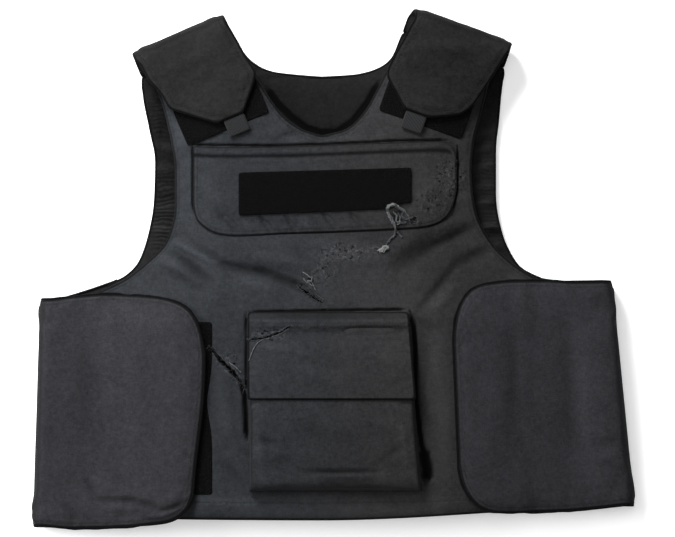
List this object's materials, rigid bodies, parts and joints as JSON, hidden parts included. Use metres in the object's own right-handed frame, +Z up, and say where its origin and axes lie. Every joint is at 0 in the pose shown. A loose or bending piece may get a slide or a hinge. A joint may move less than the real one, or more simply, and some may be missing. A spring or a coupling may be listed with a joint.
{
  "type": "bulletproof vest",
  "caption": "Soft body-armour vest lying on its back: front and back panels, folded side wings and shoulder straps, a chest flap with a bare loop strip, and a flapped lower pouch.",
  "frame": {"origin": "centre of the bounding box in plan, on the surface that the vest lies on", "axes": "+X along the vest's width, towards the right of someone who looks at its front; +Y from the hem to the neck; +Z up, out of the front panel"},
  "size_m": [0.6032, 0.52, 0.0673],
  "materials": {
    "carrier_cloth": "matt woven cloth, dark blue-grey, faded and scuffed",
    "wing_cloth": "matt woven cloth, dark grey with a violet cast",
    "strap_cloth": "matt woven cloth, dark grey",
    "back_cloth": "matt lining cloth, near black",
    "loop_tape": "matt black loop pile",
    "piping_cloth": "black corded edge",
    "tab_webbing": "dark grey ribbed webbing"
  },
  "bodies": {
    "root": {"back_panel": "back_cloth", "front_panel": "carrier_cloth", "chest_flap": "carrier_cloth", "pouch_body": "carrier_cloth", "pouch_flap": "carrier_cloth", "wing_left": "wing_cloth", "wing_right": "wing_cloth", "wing_piping_left": "piping_cloth", "wing_piping_right": "piping_cloth", "shoulder_strap_left": "strap_cloth", "shoulder_strap_right": "strap_cloth", "pull_tab_left": "tab_webbing", "pull_tab_right": "tab_webbing", "shoulder_loop_left": "loop_tape", "shoulder_loop_right": "loop_tape", "side_loop_left": "loop_tape", "side_loop_right": "loop_tape", "id_loop_strip": "loop_tape"}
  },
  "joints": []
}
